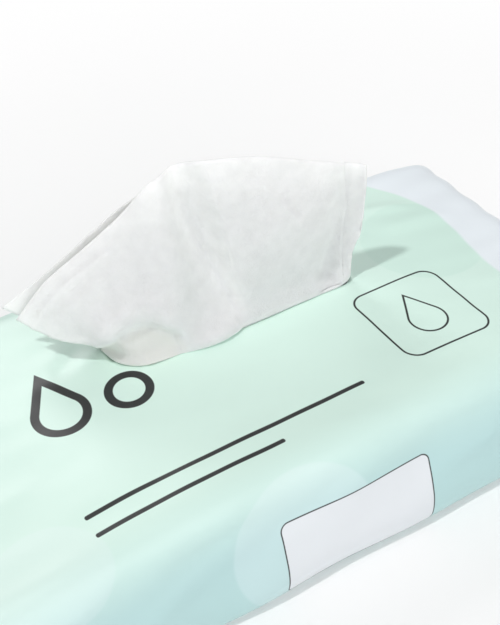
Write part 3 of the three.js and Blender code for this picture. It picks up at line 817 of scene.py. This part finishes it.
def drawn_folds(rib, rise):
    """The folds of the front ply: how far it stands out, by rib and by the share of its rise."""
    folds = {}
    # The ply rolls out over the film at the left, and the wall under this roll is hollow.
    roll = np.interp(rib, roll_ribs, roll_rises)
    folds["roll"] = at(rise - roll, roll_spot) * from_to(rib, *roll_span)
    under = from_to(rise, *hollow_start, roll, hollow_fade)
    folds["hollow"] = under * from_to(rib, *hollow_span)
    # A soft valley runs up from the opening to the top edge.
    off = np.abs((rib - np.interp(rise, valley_rises, valley_ribs)) / valley_width)
    folds["valley"] = np.exp(-off ** valley_power) * past(rise, valley_start)
    # The right edge is doubled: the inner ply ends in a seam beside it, over a shallow pocket.
    seam = np.interp(rise, seam_rises, seam_ribs)
    folds["doubled"] = from_to(rib, seam, seam_fade, *doubled_end) * past(rise, doubled_start)
    folds["pocket"] = at(rib, pocket_ribs) * at(rise, pocket_rises)
    # A light crease slants up between the valley and the seam.
    slant = np.interp(rise, slant_rises, slant_ribs)
    folds["slant"] = hump(rib - slant, slant_width) * from_to(rise, *slant_span)
    # It bellies out over the film's edge between the roll and the valley.
    folds["belly"] = at(rib, belly_ribs) * at(rise, belly_rises)
    # Two ridges run along the free edge at the left.
    both = sum(share * at(rise, spot) for share, spot in ridges)
    folds["ridge"] = both * smooth((ridge_end[0] - rib) / ridge_end[1])
    return sum(fold_heights[name] * fold for name, fold in folds.items())


# Fine gathers where the wipe passes the opening, most of them at the left.
neck_reach = (0.036, 0.004, 0.062, 0.020)  # lowest height and its fade, highest and its fade
neck_middle_rib = 1.8
neck_half_ribs = 3.6  # they die down over this many ribs on either side
neck_least = 0.25  # of their height is left elsewhere
neck_lift = 0.00030
neck_pleat = 0.0019  # length of a radian of them, round the wipe
neck_swing = 0.8  # they aren't quite even: their phase swings by this
neck_swing_length = 0.011
neck_lean = 30.0  # radians by which they lean, to each metre of the rise
risen_fade = 0.010
skirt_fade = 0.004

# Dents of the drawn wipe: height, size, shares round and along it, and seed.
risen_dents = (
    (0.00035, 0.026, 1.3, 0.5, 21),
    (0.00010, 0.008, 1.2, 0.8, 22),
    (0.00004, 0.0035, 1.0, 1.0, 23),
)
skirt_dents = (0.00012, 0.012, 1.0, 1.0, 24)


def drawn_relief(wipes, grid):
    """How far the risen wipe stands out from its ribs, and its flat places round and along it."""
    around = np.cumsum(np.linalg.norm(np.diff(grid[:, drawn_along // 2], axis=0), axis=1))
    u = np.concatenate([[0.0], around])[:, None]
    run = np.linalg.norm(np.diff(grid, axis=1), axis=2).cumsum(axis=1)
    w = np.concatenate([np.zeros((drawn_across, 1)), run], axis=1)
    rib = np.linspace(0.0, len(ribs) - 1.0, drawn_across)[:, None]
    rise = np.linspace(0.0, 1.0, drawn_along)[None, :]
    z = grid[:, :, 2]
    gathered = smooth(neck_half_ribs - np.abs(rib - neck_middle_rib)) + neck_least
    pleats = np.sin(u / neck_pleat + neck_swing * np.sin(u / neck_swing_length) + w * neck_lean)
    relief = neck_lift * from_to(z, *neck_reach) * gathered * pleats
    relief += drawn_folds(rib, rise)
    risen = smooth((z - wipes.neck_high) / risen_fade)
    for dent in risen_dents:
        relief += risen * dents(u, w, *dent)
    skirt = smooth((wipes.neck_low - z) / skirt_fade)
    relief += skirt * dents(grid[:, :, 0], grid[:, :, 1], *skirt_dents)
    return relief, np.stack([np.broadcast_to(u, w.shape), w], axis=-1)


def drawn_wipe(wipes):
    """The wipe that is drawn up: a risen sheet with soft folds, and its leaf on the stack."""
    grid = drawn_grid(wipes)
    relief, uv = drawn_relief(wipes, grid)
    grid += grid_normals(grid) * relief[:, :, None]
    risen = make_mesh("drawn_sheet", grid, grid_faces(drawn_across, drawn_along), uv)
    thicken(risen, wipes.drawn_thickness)

    lower = stack_top_height(wipes) + wipes.leaf_gap
    line = folded_line(wipes, lower + wipes.fold_gap, lower, 1, wipes.return_y, wipes.slid)
    leaf_grid = sheet_along_x(line, wipes.sheet_length, 0.0)
    leaf = make_mesh("drawn_leaf", leaf_grid, grid_faces(*leaf_grid.shape[:2]), leaf_grid[:, :, :2])
    thicken(leaf, wipes.leaf_thickness)
    return join(risen, leaf)


# Materials


def linear(colour):
    """A printed colour as the shader needs it."""
    values = [c / 12.92 if c <= 0.04045 else ((c + 0.055) / 1.055) ** 2.4 for c in colour]
    return (*values, 1.0)


class Sketch:
    """A new material, and the means to draw on it with shader nodes, which are laid out in rows."""

    def __init__(self, name):
        self.material = bpy.data.materials.new(name)
        self.material.use_nodes = True
        self.nodes = self.material.node_tree.nodes
        self.links = self.material.node_tree.links
        self.shader = self.nodes["Principled BSDF"]
        self.count = 0

    def node(self, kind, **values):
        """A node of that kind with its settings, placed next to the one made before it."""
        made = self.nodes.new(kind)
        made.location = (-1400 + 180 * (self.count % 7), 900 - 170 * (self.count // 7))
        self.count += 1
        for key, value in values.items():
            setattr(made, key, value)
        return made

    def put(self, socket, value):
        """Links a node's output to an input, or sets the input to a plain value."""
        if isinstance(value, bpy.types.NodeSocket):
            self.links.new(value, socket)
        else:
            socket.default_value = value

    def math(self, operation, *values):
        """The result of one step of reckoning."""
        made = self.node("ShaderNodeMath", operation=operation)
        for socket, value in zip(made.inputs, values):
            self.put(socket, value)
        return made.outputs[0]

    def mask(self, distance, soft):
        """1 where the signed distance is below zero, over a soft edge."""
        made = self.node("ShaderNodeMapRange", interpolation_type="SMOOTHSTEP")
        self.put(made.inputs["Value"], distance)
        self.put(made.inputs["From Min"], soft / 2.0)
        self.put(made.inputs["From Max"], -soft / 2.0)
        return made.outputs["Result"]

    def paint(self, under, over, mask):
        """One colour over another where the mask says so."""
        made = self.node("ShaderNodeMix", data_type="RGBA")
        colours = [socket for socket in made.inputs if socket.type == "RGBA"]
        self.put(made.inputs["Factor"], mask)
        self.put(colours[0], under)
        self.put(colours[1], over)
        return next(socket for socket in made.outputs if socket.type == "RGBA")

    def surface(self, inputs):
        """Sets or links the surface's own inputs by their names."""
        for name, value in inputs.items():
            self.put(self.shader.inputs[name], value)

    def noise(self, where, scale, detail=2.0, distortion=0.0):
        """Soft noise over a place."""
        made = self.node("ShaderNodeTexNoise")
        self.put(made.inputs["Vector"], where)
        self.put(made.inputs["Scale"], scale)
        self.put(made.inputs["Detail"], detail)
        self.put(made.inputs["Distortion"], distortion)
        return made.outputs[0]

    def bump(self, height, strength, distance):
        """Gives the surface a fine relief."""
        made = self.node("ShaderNodeBump")
        self.put(made.inputs["Height"], height)
        self.put(made.inputs["Strength"], strength)
        self.put(made.inputs["Distance"], distance)
        self.surface({"Normal": made.outputs["Normal"]})

    def own_place(self):
        """Place in the piece's own measure."""
        return self.node("ShaderNodeTexCoord").outputs["Object"]

    def flat_place(self):
        """Place on the flat film: along the pack, and round it from the middle of the top."""
        where = self.node("ShaderNodeUVMap", uv_map="film")
        split = self.node("ShaderNodeSeparateXYZ")
        self.links.new(where.outputs["UV"], split.inputs[0])
        return split.outputs["X"], split.outputs["Y"]

    def span(self, x, y):
        """Length of the line across x and y."""
        square = self.math("ADD", self.math("MULTIPLY", x, x), self.math("MULTIPLY", y, y))
        return self.math("SQRT", square)

    def circle(self, place, centre, radius):
        """Signed distance to a circle."""
        x = self.math("SUBTRACT", place[0], centre[0])
        y = self.math("SUBTRACT", place[1], centre[1])
        return self.math("SUBTRACT", self.span(x, y), radius)

    def outline(self, distance, stroke):
        """Signed distance to a line of that width along the edge of a shape."""
        return self.math("SUBTRACT", self.math("ABSOLUTE", distance), stroke / 2.0)

    def box(self, place, centre, half_size, radius):
        """Signed distance to a rectangle with round corners."""
        over = []
        for k in range(2):
            off = self.math("ABSOLUTE", self.math("SUBTRACT", place[k], centre[k]))
            over.append(self.math("SUBTRACT", off, half_size[k] - radius))
        x = self.math("MAXIMUM", over[0], 0.0)
        y = self.math("MAXIMUM", over[1], 0.0)
        inside = self.math("MINIMUM", self.math("MAXIMUM", over[0], over[1]), 0.0)
        return self.math("SUBTRACT", self.math("ADD", self.span(x, y), inside), radius)

    def drop(self, place, centre, radius, tip):
        """Signed distance to a water drop whose tip points to +Y."""
        x = self.math("ABSOLUTE", self.math("SUBTRACT", place[0], centre[0]))
        y = self.math("SUBTRACT", place[1], centre[1])
        lean = math.asin(radius / tip)
        along_x = self.math("MULTIPLY", x, math.cos(lean))
        along_y = self.math("MULTIPLY", self.math("SUBTRACT", y, tip), math.sin(lean))
        cone = self.math("ADD", along_x, along_y)
        ball = self.circle(place, centre, radius)
        upper = self.math("GREATER_THAN", y, radius * math.sin(lean))
        return self.math(
            "ADD", self.math("MULTIPLY", cone, upper),
            self.math("MULTIPLY", ball, self.math("SUBTRACT", 1.0, upper)),
        )


# The print is plain: soft round fields, a wave, drops, a ring, two rules and an empty panel. Its
# places are on the flat film, along the pack and round it from the middle of the top.
soft_discs = (
    ((0.064, 0.008), 0.017, "deep_mint", 0.45),
    ((-0.078, 0.030), 0.024, "deep_mint", 0.40),
    ((-0.012, -0.062), 0.019, "lilac", 0.16),
    ((0.082, -0.052), 0.021, "lilac", 0.30),
    ((-0.070, -0.040), 0.014, "lilac", 0.12),
    ((0.020, 0.052), 0.022, "deep_mint", 0.40),
)
disc_edge = 0.0010
teal_start = 0.047
teal_fade = 0.026

# The lilac field's edge: its place along the pack, its wave and how it leans round the film.
shore_place = 0.074
shore_wave = 0.007
shore_pace = 68.0  # radians of the wave to each metre
shore_lean = -0.32
shore_edge = 0.0014
shore_share = 0.9

# Shapes of the print: boxes by centre, half size and corner, drops by centre, radius and tip.
panel_box = ((0.0030, -0.0660), (0.0210, 0.0105), 0.0022)
frame_box = ((0.0445, -0.0165), (0.0130, 0.0135), 0.0040)
framed_drop = ((0.0445, -0.0195), 0.0050, 0.0105)
bold_drop = ((-0.0480, 0.0010), 0.0062, 0.0132)
bold_ring = ((-0.0310, -0.0010), 0.0050)
rules = (
    ((-0.0200, -0.0300), (0.0370, 0.0006), 0.0005),
    ((-0.0330, -0.0355), (0.0240, 0.0006), 0.0005),
)
panel_stroke = 0.00035
thin_stroke = 0.00055
bold_stroke = 0.0022
panel_edge = 0.0002
ink_edge = 0.00022
film_finish = {"Roughness": 0.36, "Specular IOR Level": 0.42}
fine_share = 0.12  # of the fine wrinkles against the broad ones


def film_print(sketch, settings):
    """The colour of the printed film."""
    place = sketch.flat_place()
    x, v = place
    fields = {name: linear(getattr(settings, name)) for name in ("deep_mint", "lilac")}

    # The long sides turn to teal towards the base.
    low = sketch.mask(sketch.math("SUBTRACT", teal_start, sketch.math("ABSOLUTE", v)), teal_fade)
    colour = sketch.paint(linear(settings.mint), linear(settings.teal), low)
    for centre, radius, field, strength in soft_discs:
        mask = sketch.mask(sketch.circle(place, centre, radius), disc_edge)
        colour = sketch.paint(colour, fields[field], sketch.math("MULTIPLY", mask, strength))

    # A lilac field at the right end, with a wave for an edge.
    wave = sketch.math("SINE", sketch.math("MULTIPLY", v, shore_pace))
    lean = sketch.math("MULTIPLY", v, shore_lean)
    edge = sketch.math("ADD", sketch.math("MULTIPLY", wave, shore_wave), lean)
    shore = sketch.math("SUBTRACT", sketch.math("ADD", edge, shore_place), x)
    mask = sketch.math("MULTIPLY", sketch.mask(shore, shore_edge), shore_share)
    colour = sketch.paint(colour, fields["lilac"], mask)

    # A plain panel with a thin outline on the front wall.
    panel = sketch.box(place, *panel_box)
    colour = sketch.paint(colour, linear(settings.panel), sketch.mask(panel, panel_edge))

    lines = [
        sketch.outline(panel, panel_stroke),
        sketch.outline(sketch.box(place, *frame_box), thin_stroke),
        sketch.outline(sketch.drop(place, *framed_drop), thin_stroke),
        sketch.outline(sketch.drop(place, *bold_drop), bold_stroke),
        sketch.outline(sketch.circle(place, *bold_ring), bold_stroke),
        *(sketch.box(place, *rule) for rule in rules),
    ]
    ink = linear(settings.ink)
    for line in lines:
        colour = sketch.paint(colour, ink, sketch.mask(line, ink_edge))
    return colour


def film_material(settings):
    """Satin printed film with the finest of its wrinkles."""
    sketch = Sketch("mint_print")
    where = sketch.own_place()
    fine = sketch.noise(where, scale=260.0, detail=3.0)
    broad = sketch.noise(where, scale=46.0, distortion=0.6)
    wrinkles = sketch.math("ADD", sketch.math("MULTIPLY", fine, fine_share), broad)
    sketch.bump(wrinkles, strength=0.22, distance=0.0010)
    sketch.surface({"Base Color": film_print(sketch, settings), **film_finish})
    return sketch.material


def lining_material(settings):
    """The film's bare inner face."""
    sketch = Sketch("film_lining")
    grain = sketch.noise(sketch.own_place(), scale=120.0)
    sketch.bump(grain, strength=0.15, distance=0.0005)
    sketch.surface({"Base Color": linear(settings.lining), "Roughness": 0.30})
    return sketch.material


thin_share = 0.965  # brightness of the cloth's thinner places
cloud_range = (0.35, 0.65)
# Where the painted shade lies on the wall under the roll, its shape, size, edge and strength.
shade_spot = (-0.0245, 0.0385)  # along the pack, and its height
shade_flatness = 1.45  # the spot is this much longer than high
shade_radius = 0.0105
shade_edge = 0.0050
shade_share = 0.8
fibre_stretch = (1.0, 0.16, 1.0)  # under 1 draws the fibres out along that axis
fibre_layers = ((0.5, 1500.0), (1.9, 1350.0))  # each layer's turn and fineness
cloth_finish = {
    "Roughness": 0.92, "Specular IOR Level": 0.2, "Sheen Weight": 0.15,
    "Subsurface Weight": 1.0, "Subsurface Radius": (1.0, 1.0, 0.95), "Subsurface Scale": 0.0012,
}


def cloth_material(settings):
    """White nonwoven: tangled fibres with a faint cloudiness, and painted shade on the wall under the roll.
    """
    sketch = Sketch("white_nonwoven")
    where = sketch.own_place()
    cloud = sketch.noise(where, scale=190.0, detail=4.0)
    thick = sketch.node("ShaderNodeMapRange")
    sketch.put(thick.inputs["Value"], cloud)
    sketch.put(thick.inputs["From Min"], cloud_range[0])
    sketch.put(thick.inputs["From Max"], cloud_range[1])
    thin = linear([thin_share * c for c in settings.cloth])
    colour = sketch.paint(thin, linear(settings.cloth), thick.outputs["Result"])

    # Painted shade: the wall under the roll beside the opening is tinted darker and warmer. This stands in
    # for the roll's shade and the light bounced off the film.
    split = sketch.node("ShaderNodeSeparateXYZ")
    sketch.put(split.inputs[0], where)
    side_place = (split.outputs["X"], sketch.math("MULTIPLY", split.outputs["Z"], shade_flatness))
    spot = sketch.circle(side_place, (shade_spot[0], shade_spot[1] * shade_flatness), shade_radius)
    painted_shade = sketch.math("MULTIPLY", sketch.mask(spot, shade_edge), shade_share)
    colour = sketch.paint(colour, linear(settings.painted_shade_cloth), painted_shade)

    height = cloud
    for turn, scale in fibre_layers:
        turned = sketch.node("ShaderNodeMapping")
        sketch.put(turned.inputs["Vector"], where)
        sketch.put(turned.inputs["Rotation"], (0.0, turn, turn))
        sketch.put(turned.inputs["Scale"], fibre_stretch)
        fibres = sketch.noise(turned.outputs[0], scale=scale, distortion=0.8)
        height = sketch.math("ADD", height, fibres)
    sketch.bump(height, strength=0.24, distance=0.0003)
    sketch.surface({"Base Color": colour, **cloth_finish})
    return sketch.material


floor_reach = 3.0
floor_finish = {"Base Color": (0.95, 0.95, 0.95, 1.0), "Roughness": 0.9, "Specular IOR Level": 0.0}


def floor_material(stage):
    """A matt white floor that takes the pack's shadow and turns plain white further out."""
    sketch = Sketch("floor")
    sketch.surface(floor_finish)
    seen = sketch.node("ShaderNodeLightPath").outputs
    mirrored = sketch.math("MAXIMUM", seen["Is Glossy Ray"], seen["Is Transmission Ray"])
    direct = sketch.math("MAXIMUM", seen["Is Camera Ray"], mirrored)
    spread = sketch.node("ShaderNodeVectorMath", operation="LENGTH")
    sketch.put(spread.inputs[0], sketch.own_place())
    past = sketch.math("SUBTRACT", spread.outputs["Value"], stage.near_floor)
    near = sketch.mask(past, stage.near_fade)
    white = sketch.math("SUBTRACT", 1.0, sketch.math("MULTIPLY", near, 1.0 - stage.floor_glow))
    mix = sketch.node("ShaderNodeMixShader")
    sketch.put(mix.inputs[0], sketch.math("MULTIPLY", direct, white))
    sketch.put(mix.inputs[1], sketch.shader.outputs[0])
    sketch.put(mix.inputs[2], sketch.node("ShaderNodeEmission").outputs[0])
    sketch.put(sketch.nodes["Material Output"].inputs["Surface"], mix.outputs[0])
    return sketch.material


def pieces_material(name, maker, settings):
    """Makes a material once."""
    return bpy.data.materials.get(name) or maker(settings)


# Operators


class WIPES_OT_stage(bpy.types.Operator):
    """Sets up the camera, the floor and the light"""

    bl_idname = "wipes.stage"
    bl_label = "Stage"

    def execute(self, context):
        stage = context.scene.wipes_stage
        self.camera(context, stage)
        self.floor(stage)
        self.light(context, stage)
        context.scene.view_settings.view_transform = "Standard"
        return {"FINISHED"}

    def camera(self, context, stage):
        """Sets the picture's own view."""
        right = Vector(stage.camera_right).normalized()
        up = Vector(stage.camera_up)
        up = (up - right * up.dot(right)).normalized()
        turn = Matrix((right, up, right.cross(up))).transposed().to_4x4()
        lens = bpy.data.cameras.new("camera")
        lens.sensor_fit = "VERTICAL"
        lens.sensor_height = 36.0
        lens.lens = stage.lens
        lens.clip_start = 0.01
        lens.clip_end = 20.0
        camera = bpy.data.objects.new("camera", lens)
        camera.matrix_world = Matrix.Translation(stage.camera_place) @ turn
        context.scene.collection.objects.link(camera)
        context.scene.camera = camera

    def floor(self, stage):
        """Lays a wide square floor under the pack."""
        corners = [
            (floor_reach * x, floor_reach * y, 0.0) for x, y in ((-1, -1), (1, -1), (1, 1), (-1, 1))
        ]
        floor = make_mesh("floor", corners, [(0, 1, 2, 3)])
        floor.data.materials.append(floor_material(stage))

    def light(self, context, stage):
        """Hangs the key light and the two soft lamps under a plain sky."""
        self.sky(context, stage)
        sun = bpy.data.lights.new("key", "SUN")
        sun.energy = stage.key_strength
        sun.angle = math.radians(stage.key_angle)
        self.hang(context, sun, stage.key_travel)
        self.soft_lamp(context, "back", stage.back_power, stage.back_place, stage.back_size)
        self.soft_lamp(context, "front", stage.front_power, stage.front_place, stage.front_size)

    def sky(self, context, stage):
        """Soft light from all round, which the camera sees as plain white."""
        world = bpy.data.worlds.new("studio")
        context.scene.world = world
        world.use_nodes = True
        nodes = world.node_tree.nodes
        links = world.node_tree.links
        soft = nodes["Background"]
        white = nodes.new("ShaderNodeBackground")
        for sky, strength in ((soft, stage.sky_strength), (white, 1.0)):
            sky.inputs["Color"].default_value = (1.0, 1.0, 1.0, 1.0)
            sky.inputs["Strength"].default_value = strength
        seen = nodes.new("ShaderNodeLightPath")
        mix = nodes.new("ShaderNodeMixShader")
        links.new(seen.outputs["Is Camera Ray"], mix.inputs[0])
        links.new(soft.outputs[0], mix.inputs[1])
        links.new(white.outputs[0], mix.inputs[2])
        links.new(mix.outputs[0], nodes["World Output"].inputs["Surface"])

    def soft_lamp(self, context, name, power, place, size):
        """A square soft lamp that looks at the pack."""
        lamp = bpy.data.lights.new(name, "AREA")
        lamp.energy = power
        lamp.size = size
        self.hang(context, lamp, -Vector(place)).location = place

    def hang(self, context, lamp, travel):
        """Puts a lamp in the scene, with its light going that way."""
        holder = bpy.data.objects.new(lamp.name, lamp)
        holder.rotation_euler = Vector(travel).to_track_quat("-Z", "Y").to_euler()
        context.scene.collection.objects.link(holder)
        return holder


class WIPES_OT_film(bpy.types.Operator):
    """Builds the printed film with its opening, gathers and crimped ends"""

    bl_idname = "wipes.film"
    bl_label = "Film"

    def execute(self, context):
        film = context.scene.wipes_film
        colours = context.scene.wipes_print
        body = film_body(film)
        body.data.materials.append(pieces_material("mint_print", film_material, colours))
        body.data.materials.append(pieces_material("film_lining", lining_material, colours))
        thicken(body, film.thickness, lining_slot=1)
        crimps = [film_crimp(film, side) for side in (1, -1)]
        for crimp in crimps:
            crimp.data.materials.append(body.data.materials[0])
        pouch = join(body, *crimps)
        pouch.name = "printed_pouch"
        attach(pouch, "root")
        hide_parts("film_pouch")
        return {"FINISHED"}


class WIPES_OT_stack(bpy.types.Operator):
    """Builds the folded wipes of the stack"""

    bl_idname = "wipes.stack"
    bl_label = "Stack"

    def execute(self, context):
        wipes = context.scene.wipes_wipes
        cloth = pieces_material("white_nonwoven", cloth_material, wipes)
        for number in range(wipe_count, 0, -1):
            piece = stack_wipe(wipes, number)
            piece.data.materials.append(cloth)
            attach(piece, "root")
            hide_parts(f"wipe_{number:02d}")
        return {"FINISHED"}


class WIPES_OT_drawn(bpy.types.Operator):
    """Builds the wipe that is drawn up through the opening"""

    bl_idname = "wipes.drawn"
    bl_label = "Drawn wipe"

    def execute(self, context):
        wipes = context.scene.wipes_wipes
        piece = drawn_wipe(wipes)
        piece.name = "drawn_cloth"
        piece.data.materials.append(pieces_material("white_nonwoven", cloth_material, wipes))
        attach(piece, "root")
        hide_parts("drawn_wipe")
        return {"FINISHED"}


class WIPES_PT_panel(bpy.types.Panel):
    """Lists the pack's settings and the steps that build it"""

    bl_label = "Wet wipes pack"
    bl_idname = "WIPES_PT_panel"
    bl_space_type = "VIEW_3D"
    bl_region_type = "UI"
    bl_category = "Wipes pack"

    def draw(self, context):
        layout = self.layout
        groups = (
            ("wipes_stage", StageSettings, WIPES_OT_stage),
            ("wipes_film", FilmSettings, WIPES_OT_film),
            ("wipes_print", PrintSettings, None),
            ("wipes_wipes", WipeSettings, WIPES_OT_stack),
        )
        for attribute, group, operator in groups:
            box = layout.box()
            for prop in group.__annotations__:
                box.prop(getattr(context.scene, attribute), prop)
            if operator:
                box.operator(operator.bl_idname)
        layout.operator(WIPES_OT_drawn.bl_idname)


classes = (
    FilmSettings, PrintSettings, WipeSettings, StageSettings,
    WIPES_OT_stage, WIPES_OT_film, WIPES_OT_stack, WIPES_OT_drawn, WIPES_PT_panel,
)


def register():
    for cls in classes:
        bpy.utils.register_class(cls)
    bpy.types.Scene.wipes_film = PointerProperty(type=FilmSettings)
    bpy.types.Scene.wipes_print = PointerProperty(type=PrintSettings)
    bpy.types.Scene.wipes_wipes = PointerProperty(type=WipeSettings)
    bpy.types.Scene.wipes_stage = PointerProperty(type=StageSettings)


def unregister():
    for attribute in ("wipes_film", "wipes_print", "wipes_wipes", "wipes_stage"):
        delattr(bpy.types.Scene, attribute)
    for cls in reversed(classes):
        bpy.utils.unregister_class(cls)


def main():
    register()
    bpy.ops.wipes.stage()
    bpy.ops.wipes.film()
    bpy.ops.wipes.stack()
    bpy.ops.wipes.drawn()


if __name__ == "__main__":
    main()
